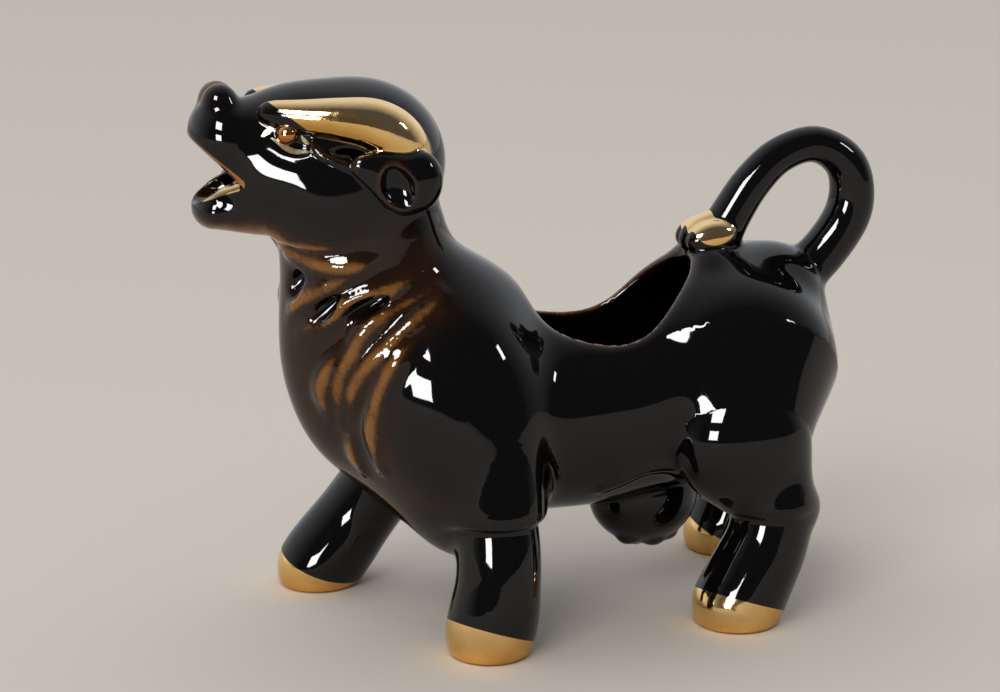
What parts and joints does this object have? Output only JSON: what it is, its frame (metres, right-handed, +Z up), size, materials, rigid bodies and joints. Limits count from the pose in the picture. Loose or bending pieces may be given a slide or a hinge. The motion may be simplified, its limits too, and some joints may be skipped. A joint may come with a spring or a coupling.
{
  "type": "animal creamer jug",
  "caption": "Hollow standing bull creamer in glazed ceramic: filled through the open back, poured through the open mouth and held by the tail looped into a handle.",
  "frame": {"origin": "on the ground under the middle of the figure's bounding box", "axes": "+Z up, +X from the muzzle to the tail, so the bull faces -X; +Y is the bull's right side"},
  "size_m": [0.1726, 0.081, 0.1353],
  "materials": {
    "black_glaze": "glossy black-brown glaze that breaks to brown on edges",
    "gold_lustre": "bright gold lustre over glaze",
    "copper_lustre": "copper lustre over glaze"
  },
  "bodies": {
    "root": {"body_shell": "black_glaze", "head_shell": "black_glaze", "lower_jaw": "black_glaze", "left_horn": "gold_lustre", "right_horn": "gold_lustre", "left_ear": "black_glaze", "right_ear": "black_glaze", "left_eye": "copper_lustre", "right_eye": "copper_lustre", "front_left_leg": "black_glaze", "front_right_leg": "black_glaze", "rear_left_leg": "black_glaze", "rear_right_leg": "black_glaze", "front_left_hoof": "gold_lustre", "front_right_hoof": "gold_lustre", "rear_left_hoof": "gold_lustre", "rear_right_hoof": "gold_lustre", "tail_handle": "black_glaze", "tail_tuft": "gold_lustre", "belly_tuft": "black_glaze"}
  },
  "joints": []
}
